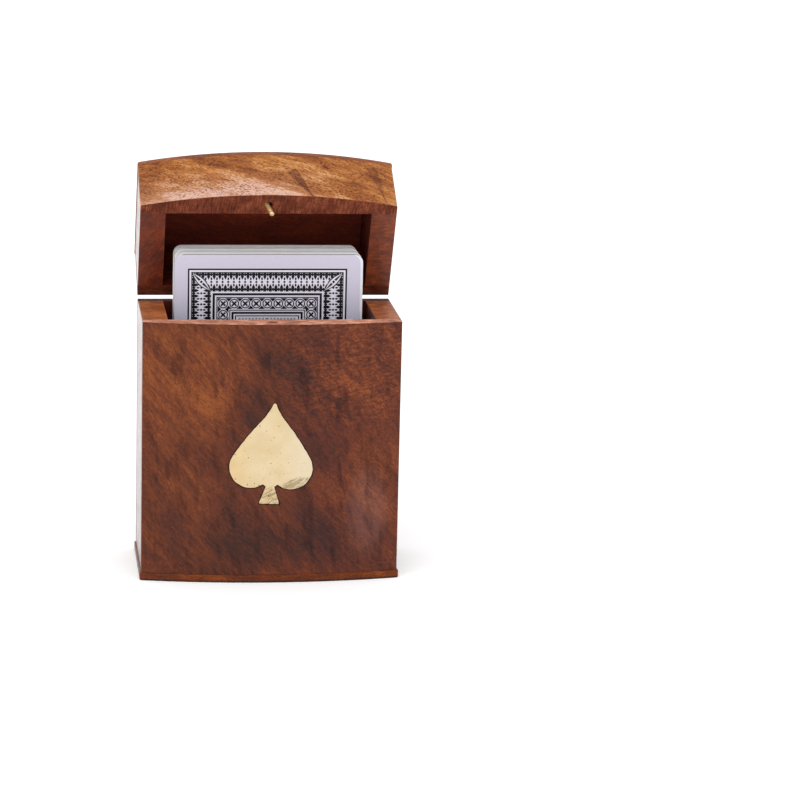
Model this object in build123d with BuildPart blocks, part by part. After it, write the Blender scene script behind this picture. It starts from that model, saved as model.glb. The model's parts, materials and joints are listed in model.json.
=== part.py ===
"""Hardwood playing card box with a flip-up lid, a brass spade inlay and one deck of cards.

Millimetres, +Z up, front towards -Y. The origin is on the underside of the base plate, midway
between the side walls and midway between the flat back and the front corners. The lid is drawn
standing open; every lid piece is sketched on a plane of the closed lid swung about the hinge axis.
"""
import os
from math import cos, radians, sin

from build123d import *

os.makedirs("parts", exist_ok=True)

# Box walls
width = 84.0
depth = 38.5  # flat back to front corners
bulge = 4.6  # stand-out of the convex front at mid-width
body_height = 86.0  # underside of the base plate to the rim
lid_height = 22.6  # lid rim to the top of the lid
base_thickness = 2.6
base_overhang = 0.5
top_thickness = 1.6
top_overhang = 0.2
side_wall = 8.3
front_wall = 3.2  # at the corners; the bulge adds to it at mid-width
back_wall = 4.4
corner_radius = 0.8
plate_edge_radius = 0.5
arris_radius = 0.25  # eased outer edges of the rims and of the back corners
tolerance = 0.01  # for picking out edges by their place

# Lid opening
lid_opening = radians(60)
rim_gap = 0.2  # between the rims when the lid is shut

# Butt hinges
hinge_spacing = 38.0
hinge_length = 18.0
knuckle_count = 5
knuckle_gap = 0.12
barrel_radius = 1.05
barrel_clearance = 0.3
pin_radius = 0.5
pin_clearance = 0.04
pin_head_radius = 0.8
pin_head_thickness = 0.35
leaf_thickness = 0.6
leaf_width = 4.1  # on the rim of the back wall
mortise_clearance = 0.1
axis_offset = 0.9  # hinge axis behind the back wall

# Countersunk screws of the hinges
screw_spacing = 9.6
screw_head_radius = 1.1
screw_head_depth = 0.7
screw_radius = 0.55
screw_length = 6.5
screw_clearance = 0.05
slot_length = 2.75
slot_width = 0.3
slot_depth = 0.25
slot_turn = 30  # degrees

# Leaning catch pin of the lid and its socket in the front rim
catch_root_x = -0.95
catch_tip_x = 0.5
catch_length = 5.2  # below the lid rim
catch_root = 5.0  # inside the lid's front wall
catch_root_radius = 0.7
catch_tip_radius = 0.82
catch_tip_rounding = 0.45
catch_mouth_x = -0.25
catch_mouth_radius = 1.15
catch_mouth_depth = 1.2
socket_radius = 1.1
socket_depth = 6.0
socket_floor_run = 0.2  # straight part of the slot at the bottom of the socket
socket_lead = 0.17  # centres the socket on the arc of the pin's tip

# Spade inlay
spade_height = 43.4  # centre of the spade above the floor
spade_x = -0.15
spade_tilt = radians(2.6)
spade_thickness = 1.0
spade_groove = 0.1
spade_tip = 17.8  # before the tip is rounded
spade_foot = -17.0
lobe_radius = 7.0
lobe_centre = (6.6, -4.9)
lobe_angles = (31, -45, -127)  # start, middle and end of the lobe, in degrees
tip_hollow = (1.65, 14.0)  # middle of the hollow flank below the tip
waist = (3.9, 10.8)  # where the flank turns from hollow to full
flank_swell = (8.5, 4.95)  # middle of the full flank
neck = (1.45, -11.2)
foot_half_width = 3.5
tip_rounding = 0.6
corner_rounding = 0.35  # of the lobe ends, the neck and the foot

# Playing cards, standing on a block inside the well
card_width = 60.8
card_height = 88.0
card_thickness = 0.28
card_pitch = 0.3
card_corner = 2.6
deck_rise = 18.4  # top of the front card above the rim
deck_back_clearance = 0.25
packet_size = 17  # cards that sit square with each other
packet_offsets = [(-0.1, 0.55), (0.15, 0.3), (0.45, 0.1)]  # sideways and upwards, from the back
front_card_x = -0.45
floor_block_clearance = 0.1

half_width = width / 2
half_depth = depth / 2
inner_half_width = half_width - side_wall
front_inner_y = front_wall - half_depth
back_inner_y = half_depth - back_wall
lid_rim = body_height + rim_gap
lid_ceiling = body_height + lid_height - top_thickness
hinge_y = half_depth + axis_offset
hinge_z = body_height + rim_gap / 2
leaf_front_y = half_depth - leaf_width
leaf_back_y = hinge_y - barrel_radius - barrel_clearance
screw_y = (leaf_front_y + half_depth) / 2
knuckle_pitch = (hinge_length + knuckle_gap) / knuckle_count
knuckle_length = knuckle_pitch - knuckle_gap
hinge_centres = {"left": -hinge_spacing / 2, "right": hinge_spacing / 2}
catch_y = (front_inner_y - half_depth - bulge) / 2
card_bottom = body_height + deck_rise - card_height


def body_level(height):
    """The level plane at this height."""
    return Plane.XY.offset(height)


def lid_level(height):
    """The plane that is level at this height when the lid is shut, swung open with the lid."""
    rise = height - hinge_z
    origin = (
        0,
        hinge_y - hinge_y * cos(lid_opening) + rise * sin(lid_opening),
        hinge_z + hinge_y * sin(lid_opening) + rise * cos(lid_opening),
    )
    return Plane(origin=origin, x_dir=(1, 0, 0), z_dir=(0, sin(lid_opening), cos(lid_opening)))


def save(part, label):
    """Label a finished piece and write its STEP file."""
    part.label = label
    export_step(part, f"parts/{label}.step")


def rectangle(x_range, y_range):
    """A rectangle between two x values and two y values of the sketch plane."""
    centre = ((x_range[0] + x_range[1]) / 2, (y_range[0] + y_range[1]) / 2)
    with Locations(centre):
        Rectangle(x_range[1] - x_range[0], y_range[1] - y_range[0])


def bowed_plan(back_y, grow=0.0):
    """A plan with the convex front of the box, closed by a straight back."""
    side = half_width + grow
    corner_y = -half_depth - grow
    with BuildSketch() as plan:
        with BuildLine():
            ThreePointArc((-side, corner_y), (0, corner_y - bulge), (side, corner_y))
            Polyline((side, corner_y), (side, back_y), (-side, back_y), (-side, corner_y))
        make_face()
    return plan.sketch


def front_corner_edges(builder, level):
    """The two upright edges at the front corners of a wall or plate."""
    upright = builder.edges().filter_by(Axis(level(0).origin, level(0).z_dir))
    outermost = upright.filter_by(lambda edge: abs(edge.center().X) > half_width - tolerance)
    ends_y = [(edge, level(0).to_local_coords(edge.center()).Y) for edge in outermost]
    front_y = min(y for _, y in ends_y)
    return [edge for edge, y in ends_y if y < front_y + tolerance]


def back_corner_edges(builder, level):
    """The two upright edges at the back corners of a back wall."""
    upright = builder.edges().filter_by(Axis(level(0).origin, level(0).z_dir))
    middles = [(edge, level(0).to_local_coords(edge.center())) for edge in upright]
    return [edge for edge, middle in middles if middle.Y > half_depth - tolerance]


def outer_rim_edges(builder, level, rim):
    """The edges of a wall's rim that lie on the outside of the box."""
    middles = [(edge, level(rim).to_local_coords(edge.center())) for edge in builder.edges()]
    on_rim = [(edge, middle) for edge, middle in middles if abs(middle.Z) < tolerance]
    outside_x = half_width - corner_radius
    outside_y = half_depth - tolerance
    return [edge for edge, middle in on_rim if abs(middle.X) > outside_x or abs(middle.Y) > outside_y]


def spade_plan(groove):
    """Half a spade, mirrored: flank arcs, a round lobe, then the foot, all with soft corners.
    The groove grows it all round."""
    tip = (0, spade_tip)
    centre = Vector(*lobe_centre)
    lobe = [centre + lobe_radius * Vector(cos(radians(angle)), sin(radians(angle))) for angle in lobe_angles]
    foot = (foot_half_width, spade_foot)
    with BuildSketch() as plan:
        with BuildLine():
            ThreePointArc(tip, tip_hollow, waist)
            ThreePointArc(waist, flank_swell, lobe[0])
            ThreePointArc(*lobe)
            Polyline(lobe[2], neck, foot, (0, spade_foot))
            mirror(about=Plane.YZ)
        make_face()
        corners = [corner for corner in plan.vertices() if abs(corner.X) > tolerance]
        fillet([corner for corner in corners if corner.Y < lobe[2].Y + tolerance], corner_rounding)
        fillet(plan.vertices().sort_by(Axis.Y)[-1], tip_rounding)
        if groove > 0:
            offset(amount=groove)
    return plan.sketch


def spade_solid(groove, proud):
    """The spade cut from the outer skin of the front wall, grown by the groove and standing proud."""
    spade_plane = Plane(
        origin=(spade_x, 0, spade_height),
        x_dir=(cos(spade_tilt), 0, -sin(spade_tilt)),
        z_dir=(0, -1, 0),
    )
    with BuildPart() as spade:
        with BuildSketch(spade_plane):
            add(spade_plan(groove))
        extrude(amount=half_depth + bulge + 2 * spade_thickness)
        with BuildSketch(body_level(0)):
            add(bowed_plan(front_inner_y, proud))
            with Locations((0, spade_thickness)):
                add(bowed_plan(front_inner_y, 0), mode=Mode.SUBTRACT)
        extrude(amount=body_height, mode=Mode.INTERSECT)
    return spade.part


def hinge_seats(level, rim, inward):
    """The wood that both hinges and their screws take out of the rim of a back wall."""
    seat_half = hinge_length / 2 + mortise_clearance
    relief_half = hinge_length / 2 + pin_head_thickness + barrel_clearance
    with BuildPart() as seats:
        for centre_x in hinge_centres.values():
            with BuildSketch(level(rim)):
                rectangle((centre_x - seat_half, centre_x + seat_half), (leaf_front_y, half_depth))
            extrude(amount=inward * leaf_thickness)
            with BuildSketch(Plane(origin=(centre_x - relief_half, hinge_y, hinge_z), z_dir=(1, 0, 0))):
                Circle(barrel_radius + barrel_clearance)
            extrude(amount=2 * relief_half)
            with BuildSketch(level(rim)):
                with Locations(*screw_places(centre_x)):
                    Circle(screw_radius + screw_clearance)
            extrude(amount=inward * (screw_length + screw_clearance))
    return seats.part


def screw_places(centre_x):
    """The two screws of one leaf, in plan."""
    return [(centre_x + side * screw_spacing / 2, screw_y) for side in (-1, 1)]


def screw_cone(level, rim, inward, place, clearance):
    """The countersunk cone of a screw head, grown by the clearance."""
    with BuildPart() as cone:
        with BuildSketch(level(rim)):
            with Locations(place):
                Circle(screw_head_radius + clearance)
        with BuildSketch(level(rim + inward * screw_head_depth)):
            with Locations(place):
                Circle(screw_radius + clearance)
        loft()
    return cone.part


def hinge_leaf(level, rim, inward, centre_x, knuckles):
    """One leaf: a plate let into the rim, with tabs to its own knuckles on the hinge axis."""
    start_x = centre_x - hinge_length / 2
    spans = [(start_x + knuckle_pitch * i, start_x + knuckle_pitch * i + knuckle_length) for i in knuckles]
    with BuildPart() as leaf:
        with BuildSketch(level(rim)):
            rectangle((start_x, start_x + hinge_length), (leaf_front_y + mortise_clearance, leaf_back_y))
            for span in spans:
                rectangle(span, (leaf_back_y, hinge_y))
        extrude(amount=inward * leaf_thickness)
        for span in spans:
            with BuildSketch(Plane(origin=(span[0], hinge_y, hinge_z), z_dir=(1, 0, 0))):
                Circle(barrel_radius)
            extrude(amount=knuckle_length)
        with BuildSketch(Plane(origin=(start_x, hinge_y, hinge_z), z_dir=(1, 0, 0))):
            Circle(pin_radius + pin_clearance)
        extrude(amount=hinge_length, mode=Mode.SUBTRACT)
        for place in screw_places(centre_x):
            add(screw_cone(level, rim, inward, place, screw_clearance), mode=Mode.SUBTRACT)
    return leaf.part


def hinge_screws(level, rim, inward):
    """The four countersunk screws that hold both leaves of one rim."""
    with BuildPart() as screws:
        for centre_x in hinge_centres.values():
            for place in screw_places(centre_x):
                add(screw_cone(level, rim, inward, place, 0))
                with BuildSketch(level(rim + inward * screw_head_depth)):
                    with Locations(place):
                        Circle(screw_radius)
                extrude(amount=inward * (screw_length - screw_head_depth))
                with BuildSketch(level(rim)):
                    with Locations(place):
                        Rectangle(slot_length, slot_width, rotation=slot_turn)
                extrude(amount=inward * slot_depth, mode=Mode.SUBTRACT)
    return screws.part


def card_plane(x, back_y, bottom):
    """The upright plane of a card's back, centred on the card."""
    return Plane(origin=(x, back_y, bottom + card_height / 2), x_dir=(1, 0, 0), z_dir=(0, -1, 0))


def side_wall_board(level, bottom, height, rim, x_range):
    """A side wall between the front and back walls, its outer rim edge eased."""
    with BuildPart() as wall:
        with BuildSketch(level(bottom)):
            rectangle(x_range, (front_inner_y, back_inner_y))
        extrude(amount=height)
        fillet(outer_rim_edges(wall, level, rim), arris_radius)
    return wall.part


def back_wall_board(level, bottom, height, rim, inward):
    """A back wall with eased outer edges and the seats of both hinges."""
    with BuildPart() as wall:
        with BuildSketch(level(bottom)):
            rectangle((-half_width, half_width), (back_inner_y, half_depth))
        extrude(amount=height)
        fillet(back_corner_edges(wall, level), arris_radius)
        fillet(outer_rim_edges(wall, level, rim), arris_radius)
        add(hinge_seats(level, rim, inward), mode=Mode.SUBTRACT)
    return wall.part


def catch_socket():
    """The room the leaning pin takes up as it swings down into the front rim: a slot that narrows
    downwards until it only surrounds the pin's tip."""
    with BuildPart() as socket:
        for depth, start_x in ((0, catch_root_x), (socket_depth, catch_tip_x - socket_floor_run)):
            with BuildSketch(body_level(body_height - depth)):
                with Locations(((start_x + catch_tip_x) / 2, catch_y - socket_lead)):
                    SlotCenterToCenter(catch_tip_x - start_x, 2 * socket_radius)
        loft()
    return socket.part


def end_plate(level, bottom, thickness, overhang):
    """A base or top plate that overhangs the walls all round, with eased edges."""
    with BuildPart() as plate:
        with BuildSketch(level(bottom)):
            add(bowed_plan(half_depth + overhang, overhang))
        extrude(amount=thickness)
        fillet(front_corner_edges(plate, level), corner_radius)
        faces = plate.faces().filter_by(Axis(level(0).origin, level(0).z_dir))
        fillet(faces.edges(), plate_edge_radius)
    return plate.part


# Body walls
wall_height = body_height - base_thickness

with BuildPart() as body_front_panel:
    with BuildSketch(body_level(base_thickness)):
        add(bowed_plan(front_inner_y))
    extrude(amount=wall_height)
    fillet(front_corner_edges(body_front_panel, body_level), corner_radius)
    fillet(outer_rim_edges(body_front_panel, body_level, body_height), arris_radius)
    add(catch_socket(), mode=Mode.SUBTRACT)
    add(spade_solid(spade_groove, spade_thickness), mode=Mode.SUBTRACT)
save(body_front_panel.part, "body_front_panel")

save(back_wall_board(body_level, base_thickness, wall_height, body_height, -1), "body_back_panel")

side_ranges = {"left": (-half_width, -inner_half_width), "right": (inner_half_width, half_width)}
for side, x_range in side_ranges.items():
    side_board = side_wall_board(body_level, base_thickness, wall_height, body_height, x_range)
    save(side_board, f"body_{side}_side")

save(end_plate(body_level, 0, base_thickness, base_overhang), "base_plate")

# The block that lifts the cards
block_half_width = inner_half_width - floor_block_clearance
with BuildPart() as floor_block:
    with BuildSketch(body_level(base_thickness)):
        rectangle(
            (-block_half_width, block_half_width),
            (front_inner_y + floor_block_clearance, back_inner_y - floor_block_clearance),
        )
    extrude(amount=card_bottom - base_thickness)
save(floor_block.part, "floor_block")

save(spade_solid(0, 0), "spade_inlay")

# Lid walls
lid_wall_height = lid_ceiling - body_height

with BuildPart() as lid_front_panel:
    with BuildSketch(lid_level(lid_rim)):
        add(bowed_plan(front_inner_y))
    extrude(amount=lid_wall_height)
    fillet(front_corner_edges(lid_front_panel, lid_level), corner_radius)
    fillet(outer_rim_edges(lid_front_panel, lid_level, lid_rim), arris_radius)
    with BuildSketch(lid_level(lid_rim)):
        with Locations((catch_mouth_x, catch_y)):
            Circle(catch_mouth_radius)
    extrude(amount=catch_mouth_depth, mode=Mode.SUBTRACT)
    with BuildSketch(lid_level(lid_rim)):
        with Locations((catch_root_x, catch_y)):
            Circle(catch_root_radius + pin_clearance)
    extrude(amount=catch_root, mode=Mode.SUBTRACT)
save(lid_front_panel.part, "lid_front_panel")

save(back_wall_board(lid_level, lid_rim, lid_wall_height, lid_rim, 1), "lid_back_panel")

for side, x_range in side_ranges.items():
    side_board = side_wall_board(lid_level, lid_rim, lid_wall_height, lid_rim, x_range)
    save(side_board, f"lid_{side}_side")

save(end_plate(lid_level, lid_rim + lid_wall_height, top_thickness, top_overhang), "top_plate")

# The catch pin leans and swells once it leaves the lid rim, and ends in a rounded tip
with BuildPart() as catch_pin:
    with BuildSketch(lid_level(lid_rim + catch_root)):
        with Locations((catch_root_x, catch_y)):
            Circle(catch_root_radius)
    extrude(amount=-catch_root)
    for height, x, radius in (
        (lid_rim, catch_root_x, catch_root_radius),
        (lid_rim - catch_length, catch_tip_x, catch_tip_radius),
    ):
        with BuildSketch(lid_level(height)):
            with Locations((x, catch_y)):
                Circle(radius)
    loft()
    tip_edges = catch_pin.faces().sort_by(Axis(lid_level(0).origin, lid_level(0).z_dir))[0].edges()
    fillet(tip_edges, catch_tip_rounding)
save(catch_pin.part, "catch_pin")

# Hinges
body_knuckles = range(0, knuckle_count, 2)
lid_knuckles = range(1, knuckle_count, 2)
for side, centre_x in hinge_centres.items():
    save(hinge_leaf(body_level, body_height, -1, centre_x, body_knuckles), f"hinge_{side}_body_leaf")
    save(hinge_leaf(lid_level, lid_rim, 1, centre_x, lid_knuckles), f"hinge_{side}_lid_leaf")
    with BuildPart() as hinge_pin:
        pin_start = centre_x - hinge_length / 2 - pin_head_thickness
        pin_plane = Plane(origin=(pin_start, hinge_y, hinge_z), z_dir=(1, 0, 0))
        with BuildSketch(pin_plane):
            Circle(pin_radius)
        extrude(amount=hinge_length + 2 * pin_head_thickness)
        for head_start in (0, hinge_length + pin_head_thickness):
            with BuildSketch(pin_plane.offset(head_start)):
                Circle(pin_head_radius)
            extrude(amount=pin_head_thickness)
    save(hinge_pin.part, f"hinge_{side}_pin")

save(hinge_screws(body_level, body_height, -1), "hinge_body_screws")
save(hinge_screws(lid_level, lid_rim, 1), "hinge_lid_screws")

# The deck: packets of square cards, the last card on its own at the front
deck_back_y = back_inner_y - deck_back_clearance
stacked_cards = packet_size * len(packet_offsets)
with BuildPart() as playing_cards:
    for index in range(stacked_cards):
        shift_x, shift_z = packet_offsets[index // packet_size]
        with BuildSketch(card_plane(shift_x, deck_back_y - index * card_pitch, card_bottom + shift_z)):
            RectangleRounded(card_width, card_height, card_corner)
        extrude(amount=card_thickness)
save(playing_cards.part, "playing_cards")

with BuildPart() as front_card:
    front_card_y = deck_back_y - stacked_cards * card_pitch
    with BuildSketch(card_plane(front_card_x, front_card_y, card_bottom)):
        RectangleRounded(card_width, card_height, card_corner)
    extrude(amount=card_thickness)
save(front_card.part, "front_card")
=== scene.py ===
"""Looks of the hardwood playing card box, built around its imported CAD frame.

Metres, in the frame of the part: +Z up, front towards -Y, lid standing open at rest. Material patterns
are worked out in millimetres in the shut box, so the grain of the lid swings with it.
"""
import json
import random
from math import ceil, cos, pi, radians, sin, sqrt

import bmesh
import bpy
from mathutils import Matrix, Vector, noise
from mathutils.geometry import delaunay_2d_cdt


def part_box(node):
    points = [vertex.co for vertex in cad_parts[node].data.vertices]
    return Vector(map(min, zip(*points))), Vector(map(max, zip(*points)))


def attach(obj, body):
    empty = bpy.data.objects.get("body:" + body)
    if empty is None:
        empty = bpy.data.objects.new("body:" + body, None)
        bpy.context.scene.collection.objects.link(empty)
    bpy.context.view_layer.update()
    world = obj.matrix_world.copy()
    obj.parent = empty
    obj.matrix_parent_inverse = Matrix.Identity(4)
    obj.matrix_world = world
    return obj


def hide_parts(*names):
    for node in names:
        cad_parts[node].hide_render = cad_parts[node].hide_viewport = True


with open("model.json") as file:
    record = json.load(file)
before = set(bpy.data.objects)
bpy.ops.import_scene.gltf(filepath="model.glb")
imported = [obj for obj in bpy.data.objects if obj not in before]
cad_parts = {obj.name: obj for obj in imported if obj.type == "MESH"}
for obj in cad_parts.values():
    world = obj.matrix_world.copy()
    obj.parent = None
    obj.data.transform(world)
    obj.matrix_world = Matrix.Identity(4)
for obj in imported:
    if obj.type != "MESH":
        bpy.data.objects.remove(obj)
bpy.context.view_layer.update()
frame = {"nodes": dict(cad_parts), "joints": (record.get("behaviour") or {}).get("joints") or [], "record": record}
mm = 0.001

hinge = frame["joints"][0]
hinge_place = Vector(hinge["pos_m"])
lid_opening = -radians(hinge["range_deg"][0])
body_nodes = frame["record"]["behaviour"]["bodies"]["box_body"]


def box_in_mm(node):
    """The low and high corners of a CAD node's box, in mm."""
    return [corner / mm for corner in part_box(node)]


# ---------------------------------------------------------------- camera, lights and floor

camera_place = Vector((-0.0909, -1.0553, 0.2974))
camera_turn = radians(7.297)
camera_dip = radians(12.846)
camera_roll = radians(1.387)
camera_lens = 147.4

sky_colour = (0.93, 0.93, 0.94)
sky_strength = 1.0
floor_size = 6
floor_glow = 0.2
sun_strength = 1.0
sun_spread = radians(60)
sun_direction = Vector((-0.25, -0.65, 0.75))


def make_camera():
    """A long lens, a little left of the box and looking down on it."""
    data = bpy.data.cameras.new("camera")
    data.lens = camera_lens
    camera = bpy.data.objects.new("camera", data)
    turn = Matrix.Rotation(-camera_turn, 4, "Z")
    dip = Matrix.Rotation(pi / 2 - camera_dip, 4, "X")
    roll = Matrix.Rotation(camera_roll, 4, "Z")
    camera.matrix_world = Matrix.Translation(camera_place) @ turn @ dip @ roll
    bpy.context.collection.objects.link(camera)
    bpy.context.scene.camera = camera


def make_lights():
    """A white room: an even sky, and one broad sun from the front."""
    scene = bpy.context.scene
    scene.view_settings.view_transform = "Standard"
    world = bpy.data.worlds.new("studio")
    world.use_nodes = True
    background = world.node_tree.nodes["Background"]
    background.inputs["Color"].default_value = (*sky_colour, 1)
    background.inputs["Strength"].default_value = sky_strength
    scene.world = world

    data = bpy.data.lights.new("key", "SUN")
    data.energy = sun_strength
    data.angle = sun_spread
    sun = bpy.data.objects.new("key", data)
    sun.rotation_euler = (-sun_direction).to_track_quat("-Z", "Y").to_euler()
    bpy.context.collection.objects.link(sun)


def make_floor():
    """A pale, slightly glowing floor."""
    bm = bmesh.new()
    bmesh.ops.create_grid(bm, x_segments=8, y_segments=8, size=floor_size)
    mesh = bpy.data.meshes.new("floor")
    bm.to_mesh(mesh)
    bm.free()
    floor = bpy.data.objects.new("floor", mesh)
    bpy.context.collection.objects.link(floor)
    graph = Graph("pale_floor")
    tint = graph.noise(graph.place(), size=400, detail=2)
    graph.finish({
        "Base Color": graph.blend(tint, (0.92, 0.92, 0.92), (0.93, 0.93, 0.935)),
        "Roughness": 0.8,
        "Specular IOR Level": 0.1,
        "Emission Color": (1, 1, 1, 1),
        "Emission Strength": floor_glow,
    })
    mesh.materials.append(graph.material)


# ---------------------------------------------------------------- node trees


class Graph:
    """The node tree of one material. Its calls add nodes and return their output sockets."""

    def __init__(self, name):
        self.material = bpy.data.materials.new(name)
        self.material.use_nodes = True
        self.tree = self.material.node_tree
        self.tree.nodes.clear()

    def node(self, kind, inputs, **settings):
        """Adds a node with its settings, and feeds its inputs by name or number."""
        made = self.tree.nodes.new(kind)
        for key, value in settings.items():
            setattr(made, key, value)
        for key, value in inputs.items():
            if isinstance(value, bpy.types.NodeSocket):
                self.tree.links.new(value, made.inputs[key])
            else:
                made.inputs[key].default_value = value
        return made

    def math(self, operation, *values):
        """One arithmetic step on up to three values."""
        return self.node("ShaderNodeMath", dict(enumerate(values)), operation=operation).outputs[0]

    def fold(self, operation, values):
        """One arithmetic step done over and over, on each value in turn."""
        total = values[0]
        for value in values[1:]:
            total = self.math(operation, total, value)
        return total

    def add(self, *values):
        """The sum of the values."""
        return self.fold("ADD", values)

    def product(self, *values):
        """The values multiplied together."""
        return self.fold("MULTIPLY", values)

    def most(self, *values):
        """The largest of the values."""
        return self.fold("MAXIMUM", values)

    def least(self, *values):
        """The smallest of the values."""
        return self.fold("MINIMUM", values)

    def minus(self, value, other):
        """The value less the other one."""
        return self.math("SUBTRACT", value, other)

    def gap(self, value, middle):
        """How far the value is from the middle, on either side."""
        return self.math("ABSOLUTE", self.minus(value, middle))

    def squares(self, first, second):
        """The sum of two squares."""
        return self.add(self.math("POWER", first, 2), self.math("POWER", second, 2))

    def ramp(self, value, start, end, low=0.0, high=1.0):
        """Goes smoothly from low to high as the value goes from start to end."""
        inputs = {"Value": value, "From Min": start, "From Max": end, "To Min": low, "To Max": high}
        return self.node("ShaderNodeMapRange", inputs, interpolation_type="SMOOTHSTEP").outputs[0]

    def swing(self, value, reach, amount):
        """Noise as a swing either way, full once the value is this far from one half."""
        return self.ramp(value, 0.5 - reach, 0.5 + reach, -amount, amount)

    def blend(self, factor, first, second, mode="MIX"):
        """Mixes two colours, each a socket or three numbers."""
        inputs = {"Factor": factor}
        for slot, colour in ((6, first), (7, second)):
            inputs[slot] = (*colour, 1) if isinstance(colour, tuple) else colour
        return self.node("ShaderNodeMix", inputs, data_type="RGBA", blend_type=mode).outputs[2]

    def stain(self, colour, amount, tint):
        """Multiplies a colour by a tint, as strongly as the amount says."""
        return self.blend(amount, colour, tint, "MULTIPLY")

    def drift(self, value, reach, first, second):
        """A colour that drifts between two, all the way once noise is this far from one half."""
        return self.blend(self.ramp(value, 0.5 - reach, 0.5 + reach), first, second)

    def choose(self, factor, first, second):
        """The first value where the factor is zero, the second where it is one."""
        inputs = {"Factor": factor, 2: first, 3: second}
        return self.node("ShaderNodeMix", inputs, data_type="FLOAT").outputs[0]

    def tones(self, value, stops):
        """A colour ramp through (position, colour) stops."""
        node = self.node("ShaderNodeValToRGB", {"Fac": value})
        elements = node.color_ramp.elements
        while len(elements) < len(stops):
            elements.new(0.5)
        for element, (position, colour) in zip(elements, stops):
            element.position = position
            element.color = (*colour, 1)
        return node.outputs[0]

    def place(self, in_lid=False):
        """Where the surface point is, in millimetres in the shut box."""
        place = self.node("ShaderNodeTexCoord", {}).outputs["Object"]
        if in_lid:
            inputs = {"Vector": place, "Center": hinge_place, "Angle": lid_opening}
            place = self.node("ShaderNodeVectorRotate", inputs, rotation_type="X_AXIS").outputs[0]
        inputs = {0: place, "Scale": 1 / mm}
        return self.node("ShaderNodeVectorMath", inputs, operation="SCALE").outputs[0]

    def split(self, vector):
        """The three parts of a vector."""
        return self.node("ShaderNodeSeparateXYZ", {0: vector}).outputs

    def turned(self, vector, rotation, offset=(0, 0, 0)):
        """The vector turned by angles in degrees, then shifted."""
        inputs = {"Vector": vector, "Rotation": [radians(angle) for angle in rotation], "Location": offset}
        return self.node("ShaderNodeMapping", inputs).outputs[0]

    def warped(self, vector, size, amount):
        """The vector pushed about by slow noise."""
        inputs = {0: vector, "Scale": 1 / size}
        scaled = self.node("ShaderNodeVectorMath", inputs, operation="SCALE").outputs[0]
        inputs = {"Vector": scaled, "Scale": 1.0, "Detail": 1.5}
        push = self.node("ShaderNodeTexNoise", inputs).outputs["Color"]
        inputs = {0: push, 1: (amount, amount, amount), 2: vector}
        return self.node("ShaderNodeVectorMath", inputs, operation="MULTIPLY_ADD").outputs[0]

    def noise(self, vector, size, stretch=1.0, detail=2.0, roughness=0.5):
        """Noise of this size in mm, stretched along the first axis of the vector."""
        scale = (1 / (size * stretch), 1 / size, 1 / size)
        scaled = self.node("ShaderNodeVectorMath", {0: vector, 1: scale}, operation="MULTIPLY").outputs[0]
        inputs = {"Vector": scaled, "Scale": 1.0, "Detail": detail, "Roughness": roughness}
        return self.node("ShaderNodeTexNoise", inputs).outputs["Fac"]

    def distance(self, vector, point):
        """How far the vector is from a point."""
        inputs = {0: vector, 1: point}
        return self.node("ShaderNodeVectorMath", inputs, operation="DISTANCE").outputs["Value"]

    def bump(self, height, depth, strength=1.0):
        """A normal from a height map whose full range is this deep, in mm."""
        inputs = {"Height": height, "Distance": depth * mm, "Strength": strength}
        return self.node("ShaderNodeBump", inputs).outputs[0]

    def finish(self, inputs):
        """Ends the tree in one principled surface."""
        shader = self.node("ShaderNodeBsdfPrincipled", inputs)
        output = self.node("ShaderNodeOutputMaterial", {})
        self.tree.links.new(shader.outputs[0], output.inputs["Surface"])


# ---------------------------------------------------------------- wood


def shut_height(node):
    """The height of a lid node's lowest point, in mm, once the lid is shut."""
    turn = Matrix.Rotation(lid_opening, 3, "X")
    corners = frame["nodes"][node].data.vertices
    return min((hinge_place + turn @ (corner.co - hinge_place)).z for corner in corners) / mm


front_panel_low, front_panel_high = box_in_mm("body_front_panel")
well_floor = box_in_mm("base_plate")[1].z
lid_ceiling = shut_height("top_plate")
well_half_width = box_in_mm("body_right_side")[0].x
well_front = front_panel_high.y
well_back = box_in_mm("body_back_panel")[0].y
rim_height = front_panel_high.z
lid_rim_height = 2 * hinge_place.z / mm - rim_height
catch_x = -0.25
catch_hole = Vector((catch_x, (well_front + front_panel_low.y) / 2, 0))
catch_hole_radius = 1.25
spade_low, spade_high = box_in_mm("spade_inlay")
spade_middle = (spade_low + spade_high) / 2


def inside_box(graph, place):
    """One on the faces that line the well and the lid's hollow, zero outside."""
    x, y, z = graph.split(place)
    beyond_x = graph.minus(graph.math("ABSOLUTE", x), well_half_width)
    beyond_y = graph.minus(graph.gap(y, (well_front + well_back) / 2), (well_back - well_front) / 2)
    beyond_z = graph.most(graph.minus(z, lid_ceiling), graph.minus(well_floor, z))
    return graph.ramp(graph.most(beyond_x, beyond_y, beyond_z), 0.12, 0.02)


def inside_catch_hole(graph, place):
    """One on the walls of the hole that the catch pin stands in."""
    x, y, z = graph.split(place)
    flat_place = graph.node("ShaderNodeCombineXYZ", {"X": x, "Y": y}).outputs[0]
    away = graph.distance(flat_place, catch_hole)
    return graph.product(
        graph.ramp(away, catch_hole_radius + 0.1, catch_hole_radius - 0.1),
        graph.ramp(graph.minus(z, lid_rim_height), 0.02, 0.15),
        graph.ramp(graph.minus(lid_ceiling, z), 0, 1),
    )


def patch(graph, place, spot):
    """A soft round patch on the front, from (x, z, half width, half height, amount) about the inlay."""
    x, _, z = graph.split(place)
    off_x, off_z, half_x, half_z, amount = spot
    across = graph.math("DIVIDE", graph.minus(x, spade_middle.x + off_x), half_x)
    up = graph.math("DIVIDE", graph.minus(z, spade_middle.z + off_z), half_z)
    return graph.ramp(graph.squares(across, up), 0.0, 1.6, amount, 0.0)


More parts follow.
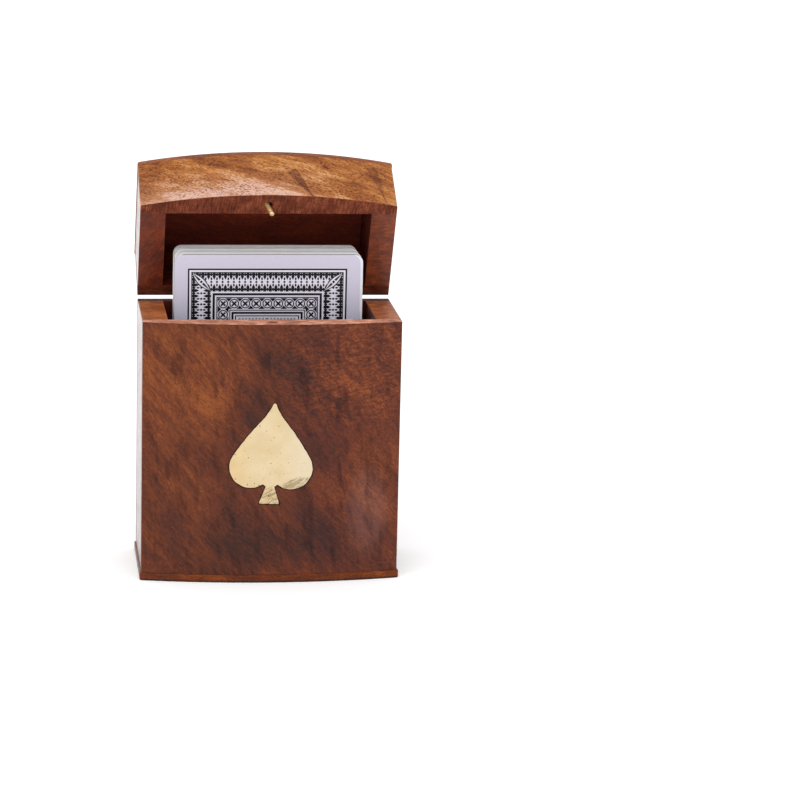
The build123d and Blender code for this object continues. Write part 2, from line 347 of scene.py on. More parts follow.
def front_board_tone(graph, place):
    """Glowing at the upper left, dark about the inlay and below it, curly at the upper right."""
    # Middle x, middle z, half width and half height in mm from the inlay's middle, and the change of tone
    spots = [
        (-27, 24, 22, 18, 0.24),
        (-30, -20, 14, 20, 0.03),
        (-18, -30, 20, 14, -0.12),
        (1, 20, 12, 13, -0.22),
        (-9, 8, 6, 9, -0.14),
        (16, 6, 10, 14, -0.06),
        (3, -26, 24, 12, -0.16),
        (24, -33, 30, 10, -0.08),
        (29, 20, 14, 22, 0.08),
        (34, -8, 9, 14, 0.1),
    ]
    x, _, z = graph.split(place)
    curly_part = graph.product(graph.ramp(x, -8, 14), graph.ramp(z, rim_height - 45, rim_height - 22))
    curl_place = graph.warped(graph.turned(place, (0, 8, 0)), size=5, amount=1.4)
    curl = graph.swing(graph.noise(curl_place, size=0.72, stretch=3.2), 0.15, 0.13)
    return graph.add(*[patch(graph, place, spot) for spot in spots], graph.product(curly_part, curl))


def front_board_colour(graph, place, colour):
    """Redder towards the right, with a faint painted reflection at the lower right: a pale purple sheen mixed into
    the colour.
    """
    x, _, _ = graph.split(place)
    colour = graph.stain(colour, graph.ramp(x, -10, 30, 0, 0.65), (1.0, 0.98, 1.2))
    # Painted reflection: a soft pale purple patch at the lower right stands for a sheen on the polish.
    painted_reflection = patch(graph, place, (32, -20, 7, 14, 0.17))
    return graph.blend(painted_reflection, colour, (0.26, 0.15, 0.14))


def base_edge_shade(graph, place):
    """The base is painted darker towards the edge it stands on: painted shade."""
    _, _, z = graph.split(place)
    return graph.ramp(z, 1.1, 0.1, 0, -0.45)


def base_contact_shadow(graph, place, colour):
    """A painted contact shadow: a black line along the edge the base stands on."""
    _, _, z = graph.split(place)
    return graph.stain(colour, graph.ramp(z, 0.55, 0.2, 0, 0.85), (0.1, 0.1, 0.12))


def lid_front_tone(graph, place):
    """The lid's front board is painted paler towards the rim, a painted sheen, less so at its right end."""
    x, _, z = graph.split(place)
    above_rim = graph.minus(z, rim_height)
    # Painted sheen: the tone rises towards the rim.
    sheen_near_rim = graph.ramp(above_rim, 15, 0, -0.04, 0.3)
    left_end = graph.ramp(x, -32, -41, 0, -0.12)
    right_end = graph.product(graph.ramp(x, 24, 33), graph.ramp(above_rim, 4, 12, 0, -0.1))
    return graph.add(graph.product(sheen_near_rim, graph.ramp(x, 0, 30, 1, 0.2)), left_end, right_end)


def add_mark(graph, place, colour, start, end, width, fill, line):
    """A dark mark that narrows from a start to an end, both (x, z) points, with a darker outline.

    The width is in mm. Fill and line say how strongly the mark and its outline are stained.
    """
    x, _, z = graph.split(place)
    run = Vector((end[0] - start[0], end[1] - start[1]))
    from_start = (graph.minus(x, start[0]), graph.minus(z, start[1]))
    ahead = run / run.length
    along = graph.add(graph.product(from_start[0], ahead.x), graph.product(from_start[1], ahead.y))
    aside = graph.add(graph.product(from_start[0], -ahead.y), graph.product(from_start[1], ahead.x))
    roughness = graph.noise(place, size=0.8)
    ragged = graph.math("MULTIPLY_ADD", roughness, 0.5, graph.add(aside, -0.25))
    to_far_side = graph.minus(graph.ramp(along, 0, run.length, width, 0.3), ragged)
    ends = (graph.ramp(along, -0.2, 0.2), graph.ramp(along, run.length + 0.5, run.length))

    inside = graph.product(graph.ramp(ragged, -0.1, 0.1), graph.ramp(to_far_side, -0.15, 0.15), *ends)
    colour = graph.stain(colour, graph.product(inside, fill), (0.52, 0.42, 0.4))
    edge = graph.least(graph.math("ABSOLUTE", ragged), graph.math("ABSOLUTE", to_far_side))
    outline = graph.product(graph.ramp(edge, 0.28, 0.08), *ends)
    return graph.stain(colour, graph.product(outline, line), (0.3, 0.18, 0.16))


def lid_front_colour(graph, place, colour):
    """A dark wedge of heartwood and a dark streak run down to the rim, whose left part carries a painted pale pink
    sheen.
    """
    colour = add_mark(graph, place, colour, (6.3, 98.4), (14.0, 86.3), width=3.2, fill=0.95, line=0.6)
    colour = add_mark(graph, place, colour, (33, 104), (38.4, 87), width=3.0, fill=0.75, line=0.25)
    x, _, z = graph.split(place)
    # Painted sheen: near the rim's left part the colour is lifted towards pale pink and white.
    sheen_near_rim = graph.ramp(graph.minus(z, rim_height), 17, 1, 0, 0.85)
    rim_sheen = graph.product(sheen_near_rim, graph.ramp(x, 0, 26, 1, 0))
    return graph.stain(colour, rim_sheen, (1.05, 1.28, 2.6))


def rim_colour(graph, place, tones, saw_turn, offset):
    """Sawn wood of the rims, with the marks of the blade across it and open pores."""
    saw_marks = graph.noise(graph.turned(place, (0, 0, saw_turn), offset), size=0.45, stretch=7)
    tone = graph.add(
        0.5,
        graph.swing(saw_marks, 0.15, 0.21),
        graph.swing(graph.noise(place, size=4, detail=3), 0.2, 0.2),
        graph.swing(graph.noise(place, size=0.4), 0.2, 0.16),
    )
    pores = graph.ramp(graph.noise(place, size=0.45, detail=1), 0.64, 0.72, 0, 0.6)
    return graph.stain(graph.tones(tone, tones), pores, (0.3, 0.2, 0.2))


def make_wood(
    name, in_lid, turn, offset, tones, rim,
    figure=1.0, smears=0.0, pores=0.4, ior=1.22, roughness=0.3,
    saw_turn=0, dashes=0.0, tone_extra=None, colour_extra=None,
):
    """Lacquered hardwood.

    The turn lays the first axis of the pattern along the grain, and the offset picks a cut of the wood.
    Tones are the colours of the faces, rim those of the rim, and saw_turn the direction of its saw marks.
    Figure, smears, pores and dashes say how strong such marks are. The extras add a board's own marks, and on some
    boards painted shade, painted sheen and a painted reflection.
    """
    graph = Graph(name)
    place = graph.place(in_lid)
    grain = graph.turned(place, turn, offset)
    grain = graph.warped(grain, size=30, amount=7)
    grain = graph.warped(grain, size=6, amount=1.0)

    bands = graph.noise(grain, size=4.2, stretch=4.5)
    clouds = graph.noise(grain, size=15, stretch=1.6, detail=1.5)
    streaks = graph.noise(grain, size=1.2, stretch=7, detail=3, roughness=0.6)
    fibres = graph.noise(grain, size=0.3, stretch=6, roughness=0.65)
    tone = graph.add(
        0.5,
        graph.swing(bands, 0.2, 0.14 * figure),
        graph.swing(clouds, 0.2, 0.09 * figure),
        graph.swing(streaks, 0.25, 0.11 * figure),
        graph.swing(fibres, 0.2, 0.14),
    )
    if tone_extra:
        tone = graph.add(tone, tone_extra(graph, place))
    colour = graph.tones(tone, tones)
    if colour_extra:
        colour = colour_extra(graph, place, colour)

    if smears:
        upright = graph.warped(graph.turned(place, (0, 97, 0), offset), size=14, amount=3)
        strokes = graph.noise(upright, size=2.6, stretch=3.6, detail=1)
        colour = graph.stain(colour, graph.ramp(strokes, 0.5, 0.76, 0, smears), (0.36, 0.34, 0.42))

    pore_mask = graph.ramp(graph.noise(grain, size=0.2, stretch=5, detail=1), 0.6, 0.7)
    pore_field = graph.ramp(graph.noise(grain, size=7, stretch=2), 0.35, 0.65, 0.4, 1)
    pore_mask = graph.product(pore_mask, pore_field)
    colour = graph.stain(colour, graph.product(pore_mask, pores), (0.16, 0.1, 0.1))
    if dashes:
        dash_place = graph.turned(place, (0, -30, 0), offset)
        dash_noise = graph.noise(dash_place, size=0.42, stretch=2.2, detail=1)
        dash_field = graph.ramp(graph.noise(place, size=8, stretch=2), 0.4, 0.62, 0.4, 1)
        dash_mask = graph.product(graph.ramp(dash_noise, 0.55, 0.62), dash_field, dashes)
        colour = graph.stain(colour, dash_mask, (0.3, 0.18, 0.13))
    glints = graph.ramp(graph.noise(grain, size=0.3, stretch=2, detail=1), 0.66, 0.76, 0, 0.5)
    colour = graph.stain(colour, glints, (1.7, 1.5, 1.35))

    _, _, z = graph.split(place)
    on_rim = graph.ramp(graph.gap(z, lid_rim_height if in_lid else rim_height), 0.2, 0.08)
    colour = graph.blend(on_rim, colour, rim_colour(graph, place, rim, saw_turn, offset))
    if in_lid:
        # Painted shade: the walls of the catch pin's hole are stained near black.
        hole_shade = inside_catch_hole(graph, place)
        colour = graph.stain(colour, graph.product(hole_shade, 0.93), (0.06, 0.03, 0.02))
    lining = inside_box(graph, place)
    colour = graph.stain(colour, lining, (0.72, 0.36, 0.38))

    sheen = graph.noise(grain, size=3, stretch=2)
    gloss = graph.ramp(sheen, 0.3, 0.7, roughness - 0.04, roughness + 0.05)
    dullness = graph.product(graph.most(lining, on_rim), 0.3)
    gloss = graph.add(gloss, graph.product(pore_mask, 0.15), dullness)
    height = graph.add(graph.product(pore_mask, -0.7), graph.product(fibres, 0.3))
    graph.finish({
        "Base Color": colour,
        "Roughness": gloss,
        "IOR": ior,
        "Normal": graph.bump(height, depth=0.03, strength=0.35),
    })
    return graph.material


def shade(tones, gain=1.0, green=1.0, blue=1.0):
    """The colour stops made lighter or darker, and shifted in hue."""
    return [(stop, (r * gain, g * gain * green, b * gain * blue)) for stop, (r, g, b) in tones]


reddish = [
    (0.12, (0.042, 0.0165, 0.0125)),
    (0.38, (0.088, 0.0235, 0.0125)),
    (0.6, (0.138, 0.0345, 0.0135)),
    (0.9, (0.250, 0.0700, 0.0190)),
]
golden = [
    (0.05, (0.125, 0.034, 0.013)),
    (0.32, (0.290, 0.085, 0.018)),
    (0.6, (0.440, 0.160, 0.036)),
    (0.9, (0.640, 0.330, 0.135)),
]
sawn = [
    (0.1, (0.060, 0.015, 0.008)),
    (0.4, (0.110, 0.028, 0.014)),
    (0.65, (0.150, 0.040, 0.020)),
    (0.9, (0.210, 0.070, 0.036)),
]


def paint_wood():
    """Gives every board its own cut of the wood."""
    upright = dict(turn=(0, 90, 0), tones=reddish, ior=1.5, roughness=0.17)
    # The body's rims face up, so their sawn tones are lit copies: painted top light and sheen, 2.5 times lighter
    # on the side rims.
    body_side_rim_lit = shade(sawn, 2.5, 0.95, 0.36)
    boards = {
        "body_front_panel": dict(
            # Painted top light and sheen: the front rim's tones are a copy of the sawn ones, 4.2 times lighter and
            # whiter.
            turn=(0, -50, 0), offset=(3, 0, 11), tones=reddish, rim=shade(sawn, 4.2, 1.65, 2.1),
            figure=0.75, smears=0.55, pores=0.7,
            tone_extra=front_board_tone, colour_extra=front_board_colour,
        ),
        "lid_front_panel": dict(
            turn=(0, -22, 0), offset=(40, 0, 31), tones=golden, rim=shade(sawn, 1.3, 0.9, 0.8),
            saw_turn=84, figure=1.35, pores=1.0, dashes=0.85,
            tone_extra=lid_front_tone, colour_extra=lid_front_colour,
        ),
        "body_left_side": dict(upright, offset=(7, 12, 3), rim=body_side_rim_lit),
        "body_right_side": dict(upright, offset=(17, 2, 23), rim=body_side_rim_lit),
        "lid_left_side": dict(
            upright, offset=(27, 22, 3), rim=shade(sawn, 0.9, 0.48, 0.12), saw_turn=50
        ),
        "lid_right_side": dict(upright, offset=(7, 32, 13), rim=shade(sawn, 1.2, 0.6, 0.14)),
        "body_back_panel": dict(turn=(0, 84, 0), offset=(50, 3, 9), tones=reddish, rim=sawn, smears=0.3),
        "lid_back_panel": dict(
            turn=(0, 5, 0), offset=(10, 43, 19), tones=reddish, rim=shade(sawn, 0.8, 0.7, 0.5)
        ),
        "base_plate": dict(
            turn=(0, 0, 4), offset=(31, 17, 5), tones=shade(reddish, 1.12, 0.87, 0.5), rim=sawn,
            pores=0.9, tone_extra=base_edge_shade, colour_extra=base_contact_shadow,
        ),
        # Painted top light and sheen: the top plate's tones are a lighter, whiter copy of the reddish ones, for
        # its thin visible edge.
        "top_plate": dict(
            turn=(0, 0, -6), offset=(61, 7, 25), tones=shade(reddish, 2.2, 1.35, 1.5), rim=sawn,
            figure=0.6, pores=0.6,
        ),
        "floor_block": dict(turn=(0, 0, 0), offset=(11, 57, 2), tones=reddish, rim=sawn),
    }
    for node, cut in boards.items():
        slots = frame["nodes"][node].data.materials
        slots[0] = make_wood(f"wood_{node}", node not in body_nodes, **cut)


# ---------------------------------------------------------------- brass


def worn_inlay(graph, place, colour, roughness):
    """Warmer at its left, cooler at its right, and brushed dull on the foot and the low right lobe."""
    x, _, z = graph.split(place)
    left = graph.ramp(graph.minus(x, spade_low.x), 9, 1)
    colour = graph.stain(colour, graph.product(left, 0.8), (1.0, 0.93, 0.8))
    right = graph.ramp(graph.minus(spade_high.x, x), 12, 2)
    colour = graph.blend(graph.product(right, 0.55), colour, (0.70, 0.61, 0.455))

    stroke_place = graph.warped(graph.turned(place, (0, 31, 0)), size=5, amount=1.8)
    strokes = graph.noise(stroke_place, size=0.5, stretch=7)
    lobe_line = graph.math("MULTIPLY_ADD", x, 0.5, spade_low.z + 5.4)
    lobe_line = graph.least(lobe_line, spade_low.z + 9.3)
    low_lobe = graph.product(graph.ramp(graph.minus(lobe_line, z), 0.0, 0.7), graph.ramp(x, 0.8, 2.2))
    foot_middle = Vector((spade_middle.x, spade_low.y, spade_low.z + 1.5))
    foot = graph.ramp(graph.distance(place, foot_middle), 5.0, 3.6)
    brushed = graph.most(low_lobe, foot)
    smudge = graph.product(graph.ramp(strokes, 0.44, 0.6), brushed)
    colour = graph.stain(colour, graph.product(smudge, 0.7), (0.45, 0.4, 0.34))
    colour = graph.stain(colour, graph.product(brushed, 0.35), (0.75, 0.7, 0.66))
    return colour, graph.add(roughness, graph.product(smudge, 0.15))


def make_brass(name, inlay=False):
    """Polished brass with fine scratches and specks, and worn places on the inlay."""
    graph = Graph(name)
    place = graph.place()
    cloud = graph.noise(place, size=6, detail=3)
    colour = graph.drift(cloud, 0.2, (0.64, 0.495, 0.285), (0.70, 0.56, 0.35))
    specks = graph.ramp(graph.noise(place, size=0.75, detail=1), 0.715, 0.745, 0, 0.85)
    colour = graph.stain(colour, specks, (0.3, 0.18, 0.08))
    scratches = graph.noise(graph.turned(place, (0, 35, 0)), size=0.12, stretch=40, detail=1)
    scratches = graph.ramp(scratches, 0.66, 0.74, 0, 1)
    roughness = graph.add(graph.ramp(cloud, 0.3, 0.7, 0.2, 0.28), graph.product(scratches, 0.12))
    if inlay:
        colour, roughness = worn_inlay(graph, place, colour, roughness)
    height = graph.add(graph.product(cloud, 1.0), graph.product(scratches, -0.15))
    normal = graph.bump(height, depth=0.02, strength=0.25)
    graph.finish({"Base Color": colour, "Metallic": 1.0, "Roughness": roughness, "Normal": normal})
    return graph.material


def make_pin_brass():
    """Drawn brass wire, bright but not mirror-smooth, with fine rings round it."""
    graph = Graph("pin_brass")
    place = graph.place(in_lid=True)
    cloud = graph.noise(place, size=0.7)
    rings = graph.noise(graph.turned(place, (0, 90, 0)), size=2.0, stretch=0.06, detail=1)
    graph.finish({
        "Base Color": graph.drift(cloud, 0.1, (0.72, 0.44, 0.14), (0.95, 0.74, 0.42)),
        "Metallic": 0.75,
        "Roughness": graph.ramp(rings, 0.3, 0.7, 0.3, 0.42),
        "Normal": graph.bump(graph.add(rings, cloud), depth=0.05, strength=0.6),
    })
    return graph.material


def make_groove_shade():
    """Near-black for the ring round the inlay: painted shade, standing for the shade in the groove between the
    brass and the wood.
    """
    graph = Graph("painted_groove_shade")
    grains = graph.noise(graph.place(), size=0.4, detail=3)
    graph.finish({
        "Base Color": graph.drift(grains, 0.15, (0.012, 0.006, 0.005), (0.04, 0.016, 0.01)),
        "Roughness": 0.8,
        "IOR": 1.2,
        "Normal": graph.bump(grains, depth=0.03, strength=0.5),
    })
    return graph.material


# The front of the body is an arc of this radius between its two corners, in metres
front_low, front_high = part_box("body_front_panel")
corner_y = -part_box("body_back_panel")[1].y
bulge = corner_y - front_low.y
bow_radius = (front_high.x**2 + bulge**2) / (2 * bulge)

outline_step = 0.3 * mm
fill_step = 1.5
sharp_edge = radians(30)
edge_wobble = 0.12 * mm
edge_wobble_length = 1.6 * mm
# The near-black ring round the inlay, painted shade for the groove there: its width and swing, and how it sits
# against the spade and the wood.
groove_shade_width = 0.26
groove_shade_swing = 0.26
groove_shade_swing_length = 1.3 * mm
groove_shade_least = 0.08 * mm
groove_shade_overlap = 0.05 * mm
groove_shade_proud = 0.012 * mm
groove_shade_depth = 0.3 * mm


def front_skin(x):
    """Where the bowed front of the body lies at this distance from the middle."""
    return front_low.y + bow_radius - sqrt(bow_radius**2 - x**2)


def inlay_outline():
    """The outline of the CAD inlay's face, as close (x, z) points, anticlockwise from the front."""
    bm = bmesh.new()
    bm.from_mesh(frame["nodes"]["spade_inlay"].data)
    bmesh.ops.remove_doubles(bm, verts=bm.verts, dist=0.01 * mm)
    neighbours = {}
    for edge in bm.edges:
        tilts = sorted(abs(face.normal.y) for face in edge.link_faces)
        in_front = all(vert.co.y < front_skin(vert.co.x) + 0.3 * mm for vert in edge.verts)
        if in_front and len(tilts) == 2 and tilts[0] < 0.5 < tilts[1]:
            first, second = edge.verts
            neighbours.setdefault(first.index, []).append(second.index)
            neighbours.setdefault(second.index, []).append(first.index)
    places = {vert.index: Vector((vert.co.x, vert.co.z)) for vert in bm.verts}
    bm.free()

    order = [min(neighbours)]
    while len(order) < len(neighbours):
        seen = {order[0], *order[-2:]}
        order.append(next(index for index in neighbours[order[-1]] if index not in seen))
    corners = [places[index] for index in order]
    area = sum(a.x * b.y - b.x * a.y for a, b in zip(corners, corners[1:] + corners[:1]))
    if area < 0:
        corners.reverse()
    points = []
    for start, end in zip(corners, corners[1:] + corners[:1]):
        count = max(1, round((end - start).length / outline_step))
        points += [start.lerp(end, part / count) for part in range(count)]
    return points


def outward(points):
    """The outward direction at each point of an anticlockwise outline."""
    directions = []
    for before, after in zip(points[-1:] + points[:-1], points[1:] + points[:1]):
        run = (after - before).normalized()
        directions.append(Vector((run.y, -run.x)))
    return directions


def add_ring(bm, points, depth):
    """Vertices at the points, this deep behind the bowed front."""
    return [bm.verts.new((point.x, front_skin(point.x) + depth, point.y)) for point in points]


def join_rings(bm, rings):
    """Quads between neighbouring rings."""
    for near, far in zip(rings, rings[1:]):
        for i, vert in enumerate(near):
            j = (i + 1) % len(near)
            bm.faces.new((vert, far[i], far[j], near[j]))


def fill_ring(bm, ring, depth):
    """Closes a ring with small triangles that lie this deep behind the bowed front."""
    border = [Vector((vert.co.x, vert.co.z)) / mm for vert in ring]
    low = Vector((min(p.x for p in border), min(p.y for p in border)))
    high = Vector((max(p.x for p in border), max(p.y for p in border)))
    grid = [
        low + fill_step * Vector((column, row))
        for column in range(ceil((high.x - low.x) / fill_step))
        for row in range(ceil((high.y - low.y) / fill_step))
    ]
    clear = 0.6 * fill_step
    inner = [point for point in grid if min((point - corner).length for corner in border) > clear]
    inside_only, tolerance = 1, 1e-4
    mesh = delaunay_2d_cdt(border + inner, [], [list(range(len(border)))], inside_only, tolerance)
    places, _, faces, origins = mesh[:4]
    verts = {}
    for face in faces:
        for index in face:
            if index in verts:
                continue
            origin = origins[index][0]
            if origin < len(ring):
                verts[index] = ring[origin]
            else:
                x, z = places[index] * mm
                verts[index] = bm.verts.new((x, front_skin(x) + depth, z))
        bm.faces.new([verts[index] for index in face])


def finish_piece(bm, name, material):
    """Turns the mesh into a piece that rides on the box body."""
    bmesh.ops.recalc_face_normals(bm, faces=bm.faces)
    for face in bm.faces:
        face.smooth = True
    mesh = bpy.data.meshes.new(name)
    bm.to_mesh(mesh)
    bm.free()
    mesh.set_sharp_from_angle(angle=sharp_edge)
    mesh.materials.append(material)
    piece = bpy.data.objects.new(name, mesh)
    bpy.context.collection.objects.link(piece)
    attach(piece, "box_body")
    return piece


def make_spade(outline):
    """The brass spade with hand-filed, slightly rolled edges and a bowed face."""
    away = outward(outline)
    wobble = [edge_wobble * noise.noise(Vector((p.x, 0, p.y)) / edge_wobble_length) for p in outline]
    edge = [point + side * swing for point, side, swing in zip(outline, away, wobble)]
    # How far in from the edge each ring lies, and how deep, from the face round the edge to the back
    profile = [(0.22, -0.03), (0.1, -0.01), (0.02, 0.06), (0.0, 0.16), (0.0, 0.9)]
    bm = bmesh.new()
    rings = []
    for inset, depth in profile:
        rings.append(add_ring(bm, [p - side * inset * mm for p, side in zip(edge, away)], depth * mm))
    join_rings(bm, rings)
    for ring, (_, depth) in ((rings[0], profile[0]), (rings[-1], profile[-1])):
        fill_ring(bm, ring, depth * mm)
    spade = finish_piece(bm, "spade_face", make_brass("inlay_brass", inlay=True))
    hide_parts("spade_inlay")


def make_groove_shade_ring(outline):
    """A thin, uneven near-black ring between the spade and the wood, just proud of the lacquer: painted shade for
    the groove round the inlay.
    """
    away = outward(outline)
    swings = [noise.noise(Vector((p.x, 5, p.y)) / groove_shade_swing_length) for p in outline]
    widths = [max(groove_shade_least, (groove_shade_width + groove_shade_swing * swing) * mm) for swing in swings]
    inner = [point - side * groove_shade_overlap for point, side in zip(outline, away)]
    outer = [point + side * width for point, side, width in zip(outline, away, widths)]
    bm = bmesh.new()
    rings = [
        add_ring(bm, inner, groove_shade_depth),
        add_ring(bm, inner, 0.0),
        add_ring(bm, outer, -groove_shade_proud),
        add_ring(bm, outer, groove_shade_depth),
    ]
    join_rings(bm, rings + rings[:1])
    finish_piece(bm, "inlay_groove_shade", make_groove_shade())


def paint_brass():
    """Brass for the hinges and their screws, and a brighter one for the catch pin."""
    brass = make_brass("plain_brass")
    for node, thing in frame["nodes"].items():
        if node.startswith("hinge"):
            thing.data.materials[0] = brass
    frame["nodes"]["catch_pin"].data.materials[0] = make_pin_brass()


# ---------------------------------------------------------------- cards

card_low, card_high = box_in_mm("front_card")
card_middle = (card_low + card_high) / 2
card_half_width = (card_high.x - card_low.x) / 2
card_half_height = (card_high.z - card_low.z) / 2
card_corner = 2.6
card_corner_steps = 7
card_thickness = 0.28
card_ease = 0.06
side_margin = 4.55
end_margin = 4.75
print_half_width = card_half_width - side_margin
print_half_height = card_half_height - end_margin

deck_count = 51
deck_seed = 7
packet_shifts = [(-0.1, 0.55), (0.15, 0.3), (0.45, 0.1)]
packet_gap = 0.35
card_slip = 0.05
card_sink = 0.06
card_lean = 0.0004


def stripe(graph, value, middle, width):
    """One where the value is within half a width of the middle, with a soft edge."""
    return graph.ramp(graph.gap(value, middle), width / 2 + 0.05, width / 2 - 0.05)


def make_card_stock(name, colour, seams=()):
    """Coated card with faint fibres. Seams are the depths, in mm, where shadow lies between packets."""
    graph = Graph(name)
    place = graph.place()
    fibres = graph.noise(place, size=0.5, detail=3)
    tint = graph.drift(fibres, 0.2, tuple(0.93 * part for part in colour), colour)
    _, y, _ = graph.split(place)
    for seam in seams:
        tint = graph.blend(graph.product(stripe(graph, y, seam, 1.6), 0.85), tint, (0.2, 0.19, 0.22))
    normal = graph.bump(fibres, depth=0.01, strength=0.2)
    graph.finish({"Base Color": tint, "Roughness": 0.45, "Normal": normal})
    return graph.material


def lace_ink(graph, along, depth, from_side, from_end):
    """A lace border.

    It has pointed ovals strung on dark dots, a white zigzag through each dark edge, and across each corner
    a white leaf with a broken dark rib.
    """
    middle, half_width, pitch = 4.2, 3.2, 1.84
    off_middle = graph.gap(depth, middle)
    step = graph.math("PINGPONG", along, pitch / 2)
    other = graph.minus(pitch / 2, step)
    dots = graph.ramp(graph.math("SQRT", graph.squares(step, off_middle)), 0.42, 0.3)
    oval = graph.ramp(graph.gap(off_middle, 1.05), 0.75, 0.1, -0.05, 0.3)
    ovals = graph.ramp(graph.minus(oval, step), -0.05, 0.05)
    wedge = graph.ramp(off_middle, 0.35, 1.9, -0.05, 0.5)
    wedges = graph.ramp(graph.minus(wedge, other), -0.05, 0.05)
    edge_run = graph.minus(off_middle, 1.55)
    zigzag = graph.ramp(graph.gap(graph.math("PINGPONG", edge_run, pitch / 2), step), 0.32, 0.18)
    edges = graph.product(graph.ramp(edge_run, -0.1, 0.1), graph.minus(1, zigzag))
    black = graph.most(dots, ovals, wedges, edges)

    leaf_start, leaf_length, leaf_half, leaf_outline, rib_half = 1.9, 8.0, 1.0, 0.4, 0.4
    half_root = sqrt(0.5)
    diagonal = graph.product(graph.add(from_side, from_end), half_root)
    aside = graph.product(graph.gap(from_side, from_end), half_root)
    run = graph.minus(diagonal, leaf_start)
    swell = graph.math("SINE", graph.product(run, pi / leaf_length))
    in_corner = graph.product(graph.ramp(run, 0, 0.2), graph.ramp(run, leaf_length, leaf_length - 0.2))
    white_leaf, leaf_rim, rib = (
        graph.ramp(graph.minus(graph.product(swell, half), aside), -0.05, 0.08)
        for half in (leaf_half, leaf_half + leaf_outline, rib_half)
    )
    rib_gap = graph.gap(graph.gap(run, leaf_length / 2), 0.55)
    rib = graph.product(rib, graph.ramp(rib_gap, 0.1, 0.25))
    black = graph.most(black, graph.product(leaf_rim, in_corner))
    black = graph.least(black, graph.minus(1, graph.product(white_leaf, in_corner)))
    black = graph.most(black, graph.product(rib, in_corner))
    return graph.product(black, graph.ramp(off_middle, half_width + 0.06, half_width - 0.06))


def ring_row_ink(graph, x, z, depth, on_side):
    """A row of ringed crosses, nine across and sixteen down."""
    row_depth, columns, rows = 11.4, 9, 16
    ring_radius, ring_line = 1.42, 0.38
    row_x, row_z = print_half_width - row_depth, print_half_height - row_depth
    pitch_x, pitch_z = 2 * row_x / (columns - 1), 2 * row_z / (rows - 1)
    cell_x = graph.math("PINGPONG", x, pitch_x / 2)
    cell_z = graph.math("PINGPONG", graph.add(z, pitch_z / 2), pitch_z / 2)
    part_x = graph.choose(on_side, cell_x, graph.gap(x, row_x))
    part_z = graph.choose(on_side, graph.gap(z, row_z), cell_z)
    radius = graph.math("SQRT", graph.squares(part_x, part_z))
    rings = stripe(graph, radius, ring_radius, ring_line)
    cross_arms = graph.ramp(graph.gap(part_x, part_z), 0.46, 0.36)
    crosses = graph.product(cross_arms, graph.ramp(radius, 1.12, 1.0))
    corner_gap = graph.add(part_x, part_z)
    wedges = graph.product(graph.ramp(corner_gap, 2.35, 2.55), graph.ramp(radius, 1.72, 1.8))
    in_row = graph.ramp(graph.gap(depth, row_depth), 1.85, 1.75)
    return graph.product(graph.most(rings, crosses, wedges), in_row)


def lattice_ink(graph, x, z, depth):
    """The field in the middle: a diagonal lattice with a dot in each cell."""
    half_pitch, clear_of_zero = 0.55, 60
    rising = graph.math("PINGPONG", graph.add(x, z), half_pitch)
    falling = graph.math("PINGPONG", graph.add(graph.minus(x, z), clear_of_zero), half_pitch)
    lines = graph.most(graph.ramp(rising, 0.2, 0.1), graph.ramp(falling, 0.2, 0.1))
    dots = graph.ramp(graph.least(rising, falling), 0.4, 0.5)
    return graph.product(graph.most(lines, dots), graph.ramp(depth, 16.0, 16.2), 0.85)


def make_printed_back():
    """A plain ornamental back: ruled frames, a lace border, ringed crosses and a lattice field."""
    graph = Graph("printed_back")
    x, _, z = graph.split(graph.place())
    x = graph.gap(x, card_middle.x)
    z = graph.gap(z, card_middle.z)
    from_side = graph.minus(print_half_width, x)
    from_end = graph.minus(print_half_height, z)
    depth = graph.least(from_side, from_end)
    on_side = graph.math("LESS_THAN", from_side, from_end)

    # The ruled lines, as (depth, width) from the edge of the print
    rules = [(0.0, 0.6), (1.05, 0.3), (8.3, 0.75), (9.35, 0.34), (13.6, 0.32), (14.5, 0.7), (15.5, 0.36)]
    ink = graph.most(
        *[stripe(graph, depth, middle, width) for middle, width in rules],
        lace_ink(graph, graph.choose(on_side, x, z), depth, from_side, from_end),
        ring_row_ink(graph, x, z, depth, on_side),
        lattice_ink(graph, x, z, depth),
    )
    ink = graph.product(ink, graph.ramp(depth, -0.3, -0.22))

    fibres = graph.noise(graph.place(), size=0.5, detail=3)
    paper = graph.drift(fibres, 0.2, (0.54, 0.515, 0.62), (0.58, 0.55, 0.655))
    whiter = graph.product(graph.ramp(depth, -0.45, -0.2), 0.9)
    paper = graph.blend(whiter, paper, (0.72, 0.69, 0.78))
    graph.finish({
        "Base Color": graph.blend(ink, paper, (0.004, 0.003, 0.006)),
        "Roughness": 0.4,
        "IOR": 1.3,
        "Normal": graph.bump(fibres, depth=0.01, strength=0.2),
    })
    return graph.material


def card_outline():
    """Points round a card with rounded corners, from its middle, anticlockwise seen from the front."""
    points = []
    for quarter in range(4):
        middle = Vector((
            (card_half_width - card_corner) * (1 if quarter in (0, 3) else -1),
            (card_half_height - card_corner) * (1 if quarter in (0, 1) else -1),
        ))
        for part in range(card_corner_steps + 1):
            angle = (quarter + part / card_corner_steps) * pi / 2
            points.append(middle + card_corner * Vector((cos(angle), sin(angle))))
    return points


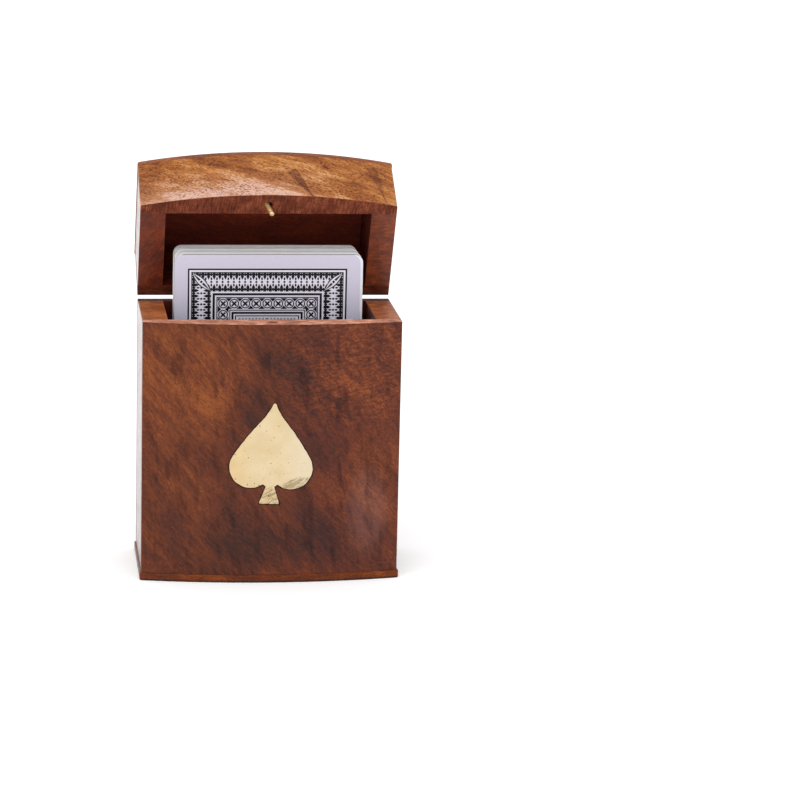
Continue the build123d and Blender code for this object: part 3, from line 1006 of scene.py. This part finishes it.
def add_card(bm, x, back_y, z, lean):
    """One card as a thin closed plate with its edges softened."""
    outline = card_outline()
    back, front = 0, -card_thickness
    layers = [(back, card_ease), (back - card_ease, 0), (front + card_ease, 0), (front, card_ease)]
    rings = []
    for offset, inset in layers:
        ring = []
        for point in outline:
            shrink = 1 - inset / card_half_width
            across = x + point.x * shrink + lean * point.y
            ring.append(bm.verts.new(Vector((across, back_y + offset, z + point.y * shrink)) * mm))
        rings.append(ring)
    count = len(outline)
    for near, far in zip(rings, rings[1:]):
        for i in range(count):
            face = bm.faces.new((near[i], near[(i + 1) % count], far[(i + 1) % count], far[i]))
            face.material_index = 1
            face.smooth = True
    bm.faces.new(rings[0])
    bm.faces.new(list(reversed(rings[-1])))


def make_deck():
    """The deck behind the front card: separate cards in a few packets that don't quite line up."""
    low, high = box_in_mm("playing_cards")
    packets = len(packet_shifts)
    pitch = (high.y - low.y - card_thickness - (packets - 1) * packet_gap) / (deck_count - 1)
    shuffle = random.Random(deck_seed)
    bm = bmesh.new()
    for index in range(deck_count):
        packet = index * packets // deck_count
        shift_x, shift_z = packet_shifts[packet]
        shift_x += shuffle.uniform(-card_slip, card_slip)
        shift_z -= shuffle.uniform(0.0, card_sink)
        lean = shuffle.uniform(-card_lean, card_lean)
        back_y = high.y - index * pitch - packet * packet_gap
        add_card(bm, shift_x, back_y, card_middle.z + shift_z, lean)
    bmesh.ops.recalc_face_normals(bm, faces=bm.faces)
    mesh = bpy.data.meshes.new("deck_of_cards")
    bm.to_mesh(mesh)
    bm.free()
    mesh.materials.append(make_card_stock("card_faces", (0.80, 0.79, 0.85)))
    packet_depth = (high.y - low.y) / packets
    seams = [low.y + 0.4, low.y + packet_depth, low.y + 2 * packet_depth]
    mesh.materials.append(make_card_stock("card_edges", (0.93, 0.92, 0.90), seams))
    deck = bpy.data.objects.new("deck_of_cards", mesh)
    bpy.context.collection.objects.link(deck)
    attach(deck, "box_body")
    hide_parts("playing_cards")


make_camera()
make_lights()
make_floor()
paint_wood()
paint_brass()
spade_outline = inlay_outline()
make_spade(spade_outline)
make_groove_shade_ring(spade_outline)
frame["nodes"]["front_card"].data.materials[0] = make_printed_back()
make_deck()
